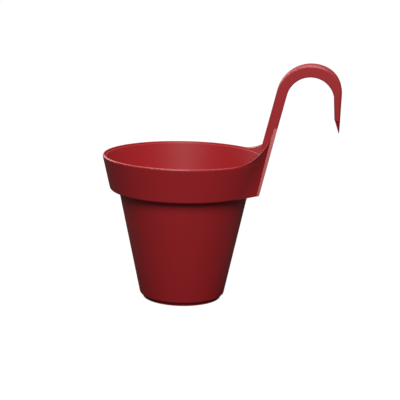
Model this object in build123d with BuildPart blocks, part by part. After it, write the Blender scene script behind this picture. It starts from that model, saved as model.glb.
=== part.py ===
from build123d import *
from math import acos, atan2, cos, hypot, radians, sin, tan
import os

os.makedirs("parts", exist_ok=True)

# Hanging flower pot: a stepped pot whose collar runs up into an over-rail hook.
# Frame: +Z up, the pot axis is Z, the hook leans out towards +X, and the origin
# is the centre of the foot where the pot stands.  Millimetres.

# ---- outer pot ----
rim_z, rim_r = 178.5, 100.0          # top of the collar, outside radius there
collar_z, collar_r = 136.5, 90.5     # lower edge of the collar
body_top_r = 80.0                    # body radius where it goes up into the collar
body_foot_z, body_foot_r = 5.5, 52.5  # body radius just above the foot chamfer
foot_z, foot_r = 1.4, 48.4           # straight foot band under the chamfer
foot_ring = 4.0                      # width of the ring that the pot stands on
wall = 2.5                           # wall of collar and body
floor_under, floor_top = 3.5, 6.0    # recessed floor of the pot
collar_flare = (rim_r - collar_r) / (rim_z - collar_z)
body_flare = (body_top_r - body_foot_r) / (collar_z - body_foot_z)

# ---- back plate, ramps and hook ----
lean = 13.4                          # lean of the back plate and the arm, degrees
plate_x = 104.0                      # back plane at rim height
plate_low, plate_high = 33.0, 12.6   # half width of the plate, at its foot and its top
plate_top = 216.0                    # where the plate has narrowed to the arm
levels = 7                           # sections that the flared back is drawn through
tuck = 0.25                          # how far the flares start inside the collar's face
wall_tuck = 0.3                      # and how far the wall above the rim does
cheek_low, cheek_high = 3.0, 4.8     # depth of the plate's side cheeks, foot and top
plate_wall = 3.2                     # wall of the ramps above the rim
heel_r = 2.5                         # rounding along the plate's lower edge
ramp_x, ramp_r = 65.5, 43.5          # the ramps leave the rim here, on this arc
ramp_sink = 0.4                      # and start this far below it
crest_round, inner_round = 1.6, 0.4  # rounding of the rim, outside and inside
under_round, step_round = 2.2, 0.8   # rounding under the collar: its edge, the corner inside
foot_round, floor_round = 1.0, 2.0   # rounding over the foot chamfer, and inside at the floor
spare = 6.0                          # extra length of a block that is cut to shape later
arm_half = 12.5                      # half width of the arm
arm_depth = 13.2                     # arm, measured level from its back to its front
arch_z, arch_r, crown_r = 261.0, 42.1, 31.7   # outside of the hook: start, two radii
arch_turn, crown_turn = -102.4, -65.5
throat_z, throat_r, throat_turn = 256.8, 28.5, -166.6   # inside of the hook
lip_z = 228.0                        # the hook's flanges end here
tip_z, tip_x = 212.0, 186.6          # pointed end of the hook
tip_thick, point, tip_wide = 6.3, 0.9, 7.0    # its thickness: above, at the point; its width
skin, flange = 3.0, 2.8              # channel section of the hook
rib, ribs, rib_reach = 1.8, 9, 60.0   # cross ribs inside the channel
outer_edge, inner_edge = 2.6, 1.2    # rounding along the hook, outside and inside

# ---- inner pieces ----
gap = 0.4                            # room between nested walls
liner_wall = 1.8
liner_rim_z = 176.5
liner_floor_z = 24.0                 # the space below it keeps a reserve of water
liner_floor = 2.2
lip_round, shoulder_round = 0.8, 1.5  # rounding of the liner: rim, outside of its shoulder
step_in, ledge_in, floor_in = 2.5, 1.0, 3.0   # and inside, from the step down
seat_z = liner_floor_z + liner_floor
grid_z = seat_z + 0.3
seat_r = 33.0                        # the liner's floor is open inside this radius
grid_r, grid_t, hole_r = 37.0, 2.0, 2.2
grid_rings = ((12.0, 6), (20.5, 12), (29.0, 18))   # radius and number of holes
knob_r, knob_h, knob_round = 5.0, 9.0, 1.5
plug_r, plug_grip, plug_tall = 10.0, 3.5, 5.5
plug_flange, plug_point = 1.5, 0.6   # thickness of its flange, taper of its lower end
drain_r = 6.0                        # drain hole in the pot's floor


def lean_x(z, x_at_rim=plate_x):
    """X of a leaning face at height z."""
    return x_at_rim + (z - rim_z) * tan(radians(lean))


def collar_radius(z):
    return rim_r + (z - rim_z) * collar_flare


def body_radius(z):
    return body_foot_r + (z - body_foot_z) * body_flare


def blend(z, low, high):
    """A value that runs evenly from the plate's foot to its top."""
    return low + (high - low) * (z - collar_z) / (plate_top - collar_z)


def flare_outline(z, past, inset):
    """Section of the flared back at height z, which ends so far past the back plane."""
    radius = collar_radius(z) - tuck - inset
    front = lean_x(z) - blend(z, cheek_low, cheek_high) - inset * 0.4
    half = blend(z, plate_low, plate_high) - inset
    angle = atan2(half, front) + acos(min(1.0, radius / hypot(front, half)))
    touch = (radius * cos(angle), radius * sin(angle))
    right = [touch, (front, half), (lean_x(z) + past, half)]
    return [(x, -y) for x, y in right] + list(reversed(right))


def flare_block(z_low, z_high, past, inset=0.0):
    """Solid drawn smoothly through the back's sections between two heights."""
    with BuildPart() as block:
        for step in range(levels):
            z = z_low + (z_high - z_low) * step / (levels - 1)
            with BuildSketch(Plane.XY.offset(z)):
                with BuildLine():
                    Polyline(*flare_outline(z, past, inset), close=True)
                make_face()
        loft()
    return block.part


def round_body(*profile):
    """Solid of revolution about Z from a closed (radius, height) outline."""
    with BuildPart() as turned:
        with BuildSketch(Plane.XZ):
            with BuildLine():
                Polyline(*profile, close=True)
            make_face()
        revolve(axis=Axis.Z)
    return turned.part


def run_on(curve, height):
    """The point at this height on the straight line that runs on from the curve."""
    return curve @ 1 + (curve % 1) * ((height - (curve @ 1).Y) / (curve % 1).Y)


def round_corner(section, spot, size):
    """Round the corner of an open section that lies at spot."""
    fillet(section.vertices().sort_by_distance((*spot, 0))[0], size)


# ---- hook_pot: pot, collar, back plate, ramps and hook in one moulding ----
ledge_z = collar_z + wall            # step inside the collar
root_z = 195.0                       # below this the arm clears the liner's way out
root_x = collar_radius(liner_rim_z) - wall + 0.5
pocket_z = 207.0                     # the hook's open channel starts here
chest = (body_radius(ledge_z) - wall, ledge_z)

cavity = round_body(
    (0, floor_top),
    (body_radius(floor_top) - wall, floor_top),
    chest,
    (collar_radius(ledge_z) - wall, ledge_z),
    (collar_radius(plate_top) - wall, plate_top),
    (0, plate_top),
)
upper_wall = round_body(
    (collar_radius(rim_z - spare) - wall, rim_z - spare),
    (collar_radius(rim_z - spare) - wall_tuck, rim_z - spare),
    (collar_radius(plate_top) - wall_tuck, plate_top),
    (collar_radius(plate_top) - wall, plate_top),
)
flares = flare_block(collar_z, plate_top, past=spare)
hollow = flare_block(rim_z, plate_top, past=-plate_wall, inset=plate_wall)

with BuildPart() as back:
    add(flares)
    add(upper_wall)
    with BuildSketch(Plane.XZ) as side_view:
        with BuildLine():
            rise = JernArc((ramp_x, rim_z - ramp_sink), (1, 0), ramp_r, 90 - lean)
            Polyline(
                rise @ 1,
                run_on(rise, plate_top),
                (lean_x(plate_top), plate_top),
                (lean_x(collar_z), collar_z),
                (ramp_x, collar_z),
                rise @ 0,
            )
        make_face()
        round_corner(side_view, (lean_x(collar_z), collar_z), heel_r)
    extrude(amount=rim_r, both=True, mode=Mode.INTERSECT)
    add(hollow, mode=Mode.SUBTRACT)
    add(cavity, mode=Mode.SUBTRACT)
    ramp_tops = back.faces().filter_by(GeomType.CYLINDER).sort_by(Axis.Z)[-2:]
    fillet([top.edges().sort_by(SortBy.LENGTH)[-1] for top in ramp_tops], crest_round)


def hook_path(from_z, shift=0.0):
    """The outside of arm, arch and crown, moved inward by shift."""
    across, drop = shift * cos(radians(lean)), shift * sin(radians(lean))
    foot = (lean_x(from_z) - arm_depth + across, from_z - drop)
    arm = Line(foot, (lean_x(arch_z) - arm_depth + across, arch_z - drop))
    arch = JernArc(arm @ 1, arm % 1, arch_r - shift, arch_turn)
    crown = JernArc(arch @ 1, arch % 1, crown_r - shift, crown_turn)
    return arm, arch, crown


with BuildPart() as hook:
    with BuildSketch(Plane.XZ):
        with BuildLine():
            arm, arch, crown = hook_path(root_z)
            leg = Line(crown @ 1, run_on(crown, lip_z))
            front = Line((lean_x(liner_rim_z), liner_rim_z), (lean_x(throat_z), throat_z))
            throat = JernArc(front @ 1, front % 1, throat_r, throat_turn)
            leg_in = Line(throat @ 1, (180.3, lip_z))
            Line(leg @ 1, leg_in @ 1)
            Polyline(arm @ 0, (root_x, liner_rim_z), front @ 0)
        make_face()
    extrude(amount=arm_half, both=True)
    crests = [arm @ 0.5, arch @ 0.5, crown @ 0.5, leg @ 0.5]
    inners = [front @ 0.8, throat @ 0.5, leg_in @ 0.5]
    for points, size in ((crests, outer_edge), (inners, inner_edge)):
        chosen = []
        for side in (-arm_half, arm_half):
            for p in points:
                chosen.append(hook.edges().sort_by_distance((p.X, side, p.Y))[0])
        fillet(chosen, size)

with BuildLine(Plane.XZ) as spine:
    hook_path(pocket_z, skin)

with BuildPart() as pocket:
    with BuildSketch(Plane.XZ):
        with BuildLine():
            arm, arch, crown = hook_path(pocket_z, skin)
            Polyline(crown @ 1, run_on(crown, lip_z + skin), arm @ 0)
        make_face()
    extrude(amount=arm_half - flange, both=True)
    for step in range(1, ribs + 1):
        with Locations(spine.wire().location_at(step / (ribs + 1))):
            Box(rib_reach, rib_reach, rib, mode=Mode.SUBTRACT)

with BuildPart() as tip:
    with BuildSketch(Plane.XY.offset(lip_z)):
        with Locations(((leg @ 1).X - tip_thick / 2, 0)):
            Rectangle(tip_thick, 2 * arm_half - 2.0)
    with BuildSketch(Plane.XY.offset(tip_z)):
        with Locations((tip_x - point / 2, 0)):
            Rectangle(point, tip_wide)
    loft()

with BuildPart() as hook_pot:
    with BuildSketch(Plane.XZ) as wall_section:
        with BuildLine():
            Polyline(
                (foot_r - foot_ring, 0),
                (foot_r, 0),
                (foot_r, foot_z),
                (body_foot_r, body_foot_z),
                (body_top_r, collar_z),
                (collar_r, collar_z),
                (rim_r, rim_z),
                (rim_r - wall, rim_z),
                (collar_radius(ledge_z) - wall, ledge_z),
                chest,
                (body_radius(floor_top) - wall, floor_top),
                (drain_r, floor_top),
                (drain_r, floor_under),
                (foot_r - foot_ring, floor_under),
                close=True,
            )
        make_face()
        round_corner(wall_section, (rim_r, rim_z), crest_round)
        round_corner(wall_section, (rim_r - wall, rim_z), inner_round)
        round_corner(wall_section, (collar_r, collar_z), under_round)
        round_corner(wall_section, (body_top_r, collar_z), step_round)
        round_corner(wall_section, (body_foot_r, body_foot_z), foot_round)
        round_corner(wall_section, (body_radius(floor_top) - wall, floor_top), floor_round)
    revolve(axis=Axis.Z)
    add(back.part)
    add(hook.part)
    add(tip.part)
    add(pocket.part, mode=Mode.SUBTRACT)
hook_pot.part.label = "hook_pot"
export_step(hook_pot.part, "parts/hook_pot.step")


# ---- liner: stepped inner pot with an open floor, hanging on the collar's ledge ----
shoulder_z = ledge_z + 0.3
step_z = shoulder_z + liner_wall
liner_in = wall + gap + liner_wall   # from the pot's outside to the liner's inside
with BuildPart() as liner:
    with BuildSketch(Plane.XZ) as liner_section:
        with BuildLine():
            Polyline(
                (seat_r, liner_floor_z),
                (body_radius(liner_floor_z) - wall - gap, liner_floor_z),
                (body_radius(shoulder_z) - wall - gap, shoulder_z),
                (collar_radius(shoulder_z) - wall - gap, shoulder_z),
                (collar_radius(liner_rim_z) - wall - gap, liner_rim_z),
                (collar_radius(liner_rim_z) - liner_in, liner_rim_z),
                (collar_radius(step_z) - liner_in, step_z),
                (body_radius(step_z) - liner_in, step_z),
                (body_radius(seat_z) - liner_in, seat_z),
                (seat_r, seat_z),
                close=True,
            )
        make_face()
        round_corner(liner_section, (collar_radius(liner_rim_z) - liner_in, liner_rim_z), lip_round)
        round_corner(liner_section, (collar_radius(liner_rim_z) - wall - gap, liner_rim_z), lip_round)
        round_corner(liner_section, (body_radius(step_z) - liner_in, step_z), step_in)
        round_corner(liner_section, (collar_radius(shoulder_z) - wall - gap, shoulder_z), shoulder_round)
        round_corner(liner_section, (collar_radius(step_z) - liner_in, step_z), ledge_in)
        round_corner(liner_section, (body_radius(seat_z) - liner_in, seat_z), floor_in)
    revolve(axis=Axis.Z)
liner.part.label = "liner"
export_step(liner.part, "parts/liner.step")


# ---- drain_grid: perforated disc with a knob, lying over the liner's open floor ----
with BuildPart() as drain_grid:
    with BuildSketch(Plane.XY.offset(grid_z)):
        Circle(grid_r)
        for ring, holes in grid_rings:
            with PolarLocations(ring, holes):
                Circle(hole_r, mode=Mode.SUBTRACT)
    extrude(amount=grid_t)
    with BuildSketch(Plane.XY.offset(grid_z + grid_t)):
        Circle(knob_r)
    extrude(amount=knob_h, taper=-4)
    fillet(drain_grid.edges().group_by(Axis.Z)[-1], knob_round)
drain_grid.part.label = "drain_grid"
export_step(drain_grid.part, "parts/drain_grid.step")


# ---- drain_plug: soft plug that drops into the pot's drain hole from above ----
plug_low, plug_seat = floor_under + 0.2, floor_top + 0.1
plug_stem = drain_r - 0.05
with BuildPart() as drain_plug:
    with BuildSketch(Plane.XZ) as plug_section:
        with BuildLine():
            Polyline(
                (0, plug_low),
                (plug_stem - plug_point, plug_low),
                (plug_stem, plug_low + plug_point),
                (plug_stem, plug_seat),
                (plug_r, plug_seat),
                (plug_r, plug_seat + plug_flange),
                (plug_grip, plug_seat + plug_flange),
                (plug_grip, floor_top + plug_tall),
                (0, floor_top + plug_tall),
                close=True,
            )
        make_face()
        round_corner(plug_section, (plug_r, plug_seat + plug_flange), 0.6)
        round_corner(plug_section, (plug_grip, plug_seat + plug_flange), 1.0)
        round_corner(plug_section, (plug_grip, floor_top + plug_tall), 0.9)
    revolve(axis=Axis.Z)
drain_plug.part.label = "drain_plug"
export_step(drain_plug.part, "parts/drain_plug.step")
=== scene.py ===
"""Hanging flower pot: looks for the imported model, in metres, in the model's own frame."""
import math

import bpy
from mathutils import Matrix, Vector


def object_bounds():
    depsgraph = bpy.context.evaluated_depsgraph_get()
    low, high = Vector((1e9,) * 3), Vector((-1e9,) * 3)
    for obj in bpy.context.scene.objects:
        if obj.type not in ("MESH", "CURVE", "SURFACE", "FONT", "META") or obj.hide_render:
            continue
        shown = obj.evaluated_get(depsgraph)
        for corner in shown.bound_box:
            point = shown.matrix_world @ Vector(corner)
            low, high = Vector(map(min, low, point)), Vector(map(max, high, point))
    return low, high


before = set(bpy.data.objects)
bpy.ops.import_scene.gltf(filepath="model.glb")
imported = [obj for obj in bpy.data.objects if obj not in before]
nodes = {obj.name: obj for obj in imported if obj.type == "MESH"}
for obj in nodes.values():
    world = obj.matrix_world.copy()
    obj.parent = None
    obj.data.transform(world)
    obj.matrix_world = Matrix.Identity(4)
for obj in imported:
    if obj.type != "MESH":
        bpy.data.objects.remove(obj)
cad_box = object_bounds()
floor_z = cad_box[0][2]

# ---- camera: a long lens a little above the rim, the pot's axis left of the middle ----
LENS, SENSOR = 108.0, 36.0         # millimetres
AZIMUTH = math.radians(5.0)        # turned towards the hook's outer side
ELEVATION = math.radians(12.39)
ROLL = math.radians(1.27)
DISTANCE = 1.50545
ASIDE, BELOW = -0.0230, -0.11849   # where the foot's centre sits in the view

# ---- light: each lamp is a square, aimed at a point near the pot's axis ----
# name, place, target, side, watts
LAMPS = (
    ("top", (0.0, 0.15, 1.35), (0.0, 0.0, 0.15), 0.8, 12.0),
    ("key", (0.15, -1.30, 1.10), (0.0, 0.0, 0.12), 0.7, 23.0),
    ("rim", (-0.95, 0.95, 0.95), (0.0, 0.0, 0.2), 0.8, 14.0),
)
WHITE = (1.0, 1.0, 1.0, 1.0)
AROUND = 0.20                      # dim light from all round
BEHIND = 1.6                       # what the camera sees past the floor: plain white

# ---- floor ----
FLOOR_SIDE = 60.0
FLOOR_TONE = 0.05
NEAR, FAR = 0.15, 1.2              # distances from the pot's axis
GLOW_NEAR, GLOW_FAR = 0.97, 1.0    # how bright the camera sees the floor at those distances

# ---- moulded plastic and rubber ----
IOR = 1.49
MOTTLE, MOTTLE_SCALE = 0.05, 14.0  # the colour varies by this share, in broad patches
GRAIN_SCALE, GRAIN_DEPTH = 900.0, 0.0004
CRIMSON = (0.33, 0.0135, 0.0175)
DEEP_CRIMSON = (0.24, 0.014, 0.018)
BLACK = (0.03, 0.03, 0.032)
# node: material, colour, roughness, strength of the grain, specular level
FINISHES = {
    "hook_pot": ("outer_red", CRIMSON, 0.42, 0.10, 0.5),
    "liner": ("liner_red", CRIMSON, 0.52, 0.10, 0.3),
    "drain_grid": ("grid_red", DEEP_CRIMSON, 0.5, 0.15, 0.5),
    "drain_plug": ("plug_rubber", BLACK, 0.6, 0.2, 0.5),
}
# sockets of a Mix node set to colours, which share their names with its other kinds
FACTOR, FIRST, SECOND, RESULT = 0, 6, 7, 2


def add_camera():
    """The camera starts on the pot's -Y side, then turns about the pot's axis."""
    forward = Vector((0.0, math.cos(ELEVATION), -math.sin(ELEVATION)))
    right = Vector((1.0, 0.0, 0.0))
    up = right.cross(forward)
    tilt_right = math.cos(ROLL) * right + math.sin(ROLL) * up
    tilt_up = -math.sin(ROLL) * right + math.cos(ROLL) * up
    place = -(ASIDE * tilt_right + BELOW * tilt_up + DISTANCE * forward)
    axes = Matrix((tilt_right, tilt_up, -forward)).transposed().to_4x4()
    data = bpy.data.cameras.new("camera")
    data.lens = LENS
    data.sensor_width = SENSOR
    camera = bpy.data.objects.new("camera", data)
    bpy.context.scene.collection.objects.link(camera)
    turn = Matrix.Rotation(AZIMUTH, 4, "Z")
    camera.matrix_world = turn @ Matrix.Translation(place) @ axes
    bpy.context.scene.camera = camera


def add_lamp(name, place, target, side, power):
    data = bpy.data.lights.new(name, "AREA")
    data.shape = "SQUARE"
    data.size = side
    data.energy = power
    lamp = bpy.data.objects.new(name, data)
    bpy.context.scene.collection.objects.link(lamp)
    lamp.location = place
    aim = Vector(target) - Vector(place)
    lamp.rotation_euler = aim.to_track_quat("-Z", "Y").to_euler()


def link_by_ray(tree, out, other, seen):
    """The camera's own rays get the shader called seen; every other ray gets other."""
    path = tree.nodes.new("ShaderNodeLightPath")
    mix = tree.nodes.new("ShaderNodeMixShader")
    tree.links.new(path.outputs["Is Camera Ray"], mix.inputs["Fac"])
    tree.links.new(other.outputs[0], mix.inputs[1])
    tree.links.new(seen.outputs[0], mix.inputs[2])
    tree.links.new(mix.outputs[0], out.inputs["Surface"])


def add_world():
    world = bpy.data.worlds.new("studio")
    bpy.context.scene.world = world
    world.use_nodes = True
    tree = world.node_tree
    tree.nodes.clear()
    around = tree.nodes.new("ShaderNodeBackground")
    behind = tree.nodes.new("ShaderNodeBackground")
    for background, strength in ((around, AROUND), (behind, BEHIND)):
        background.inputs["Color"].default_value = WHITE
        background.inputs["Strength"].default_value = strength
    link_by_ray(tree, tree.nodes.new("ShaderNodeOutputWorld"), around, behind)


def add_floor():
    """A wide plain sheet, which the camera sees with a pale glow of its own added."""
    bpy.ops.mesh.primitive_plane_add(size=FLOOR_SIDE, location=(0, 0, floor_z))
    floor = bpy.context.object
    floor.name = "floor"
    material = bpy.data.materials.new("floor_white")
    material.use_nodes = True
    tree = material.node_tree
    sheet = tree.nodes["Principled BSDF"]
    sheet.inputs["Base Color"].default_value = (FLOOR_TONE, FLOOR_TONE, FLOOR_TONE, 1.0)
    sheet.inputs["Roughness"].default_value = 1.0
    sheet.inputs["Specular IOR Level"].default_value = 0.0
    place = tree.nodes.new("ShaderNodeTexCoord")
    away = tree.nodes.new("ShaderNodeVectorMath")
    away.operation = "LENGTH"
    glow = tree.nodes.new("ShaderNodeMapRange")
    glow.inputs["From Min"].default_value = NEAR
    glow.inputs["From Max"].default_value = FAR
    glow.inputs["To Min"].default_value = GLOW_NEAR
    glow.inputs["To Max"].default_value = GLOW_FAR
    light = tree.nodes.new("ShaderNodeEmission")
    both = tree.nodes.new("ShaderNodeAddShader")
    links = tree.links
    links.new(place.outputs["Object"], away.inputs[0])
    links.new(away.outputs["Value"], glow.inputs["Value"])
    links.new(glow.outputs["Result"], light.inputs["Strength"])
    links.new(sheet.outputs[0], both.inputs[0])
    links.new(light.outputs[0], both.inputs[1])
    link_by_ray(tree, tree.nodes["Material Output"], sheet, both)
    floor.data.materials.append(material)


def plastic(name, color, roughness, grain, gloss):
    """Satin moulded surface: a faint mottle in the colour and a fine moulded grain."""
    material = bpy.data.materials.new(name)
    material.use_nodes = True
    tree = material.node_tree
    shader = tree.nodes["Principled BSDF"]
    shader.inputs["Roughness"].default_value = roughness
    shader.inputs["IOR"].default_value = IOR
    shader.inputs["Specular IOR Level"].default_value = gloss
    place = tree.nodes.new("ShaderNodeTexCoord")
    patches = tree.nodes.new("ShaderNodeTexNoise")
    patches.inputs["Scale"].default_value = MOTTLE_SCALE
    patches.inputs["Detail"].default_value = 4.0
    tone = tree.nodes.new("ShaderNodeMix")
    tone.data_type = "RGBA"
    for socket, share in ((FIRST, 1.0 - MOTTLE), (SECOND, 1.0 + MOTTLE)):
        tone.inputs[socket].default_value = (*[share * c for c in color], 1.0)
    fine = tree.nodes.new("ShaderNodeTexNoise")
    fine.inputs["Scale"].default_value = GRAIN_SCALE
    fine.inputs["Detail"].default_value = 3.0
    bump = tree.nodes.new("ShaderNodeBump")
    bump.inputs["Strength"].default_value = grain
    bump.inputs["Distance"].default_value = GRAIN_DEPTH
    links = tree.links
    links.new(place.outputs["Object"], patches.inputs["Vector"])
    links.new(place.outputs["Object"], fine.inputs["Vector"])
    links.new(patches.outputs["Fac"], tone.inputs[FACTOR])
    links.new(tone.outputs[RESULT], shader.inputs["Base Color"])
    links.new(fine.outputs["Fac"], bump.inputs["Height"])
    links.new(bump.outputs["Normal"], shader.inputs["Normal"])
    return material


def dress(node, material):
    mesh = nodes[node].data
    mesh.materials.clear()
    mesh.materials.append(material)


add_camera()
add_world()
add_floor()
for lamp in LAMPS:
    add_lamp(*lamp)
bpy.context.scene.view_settings.view_transform = "Standard"

for node, finish in FINISHES.items():
    dress(node, plastic(*finish))
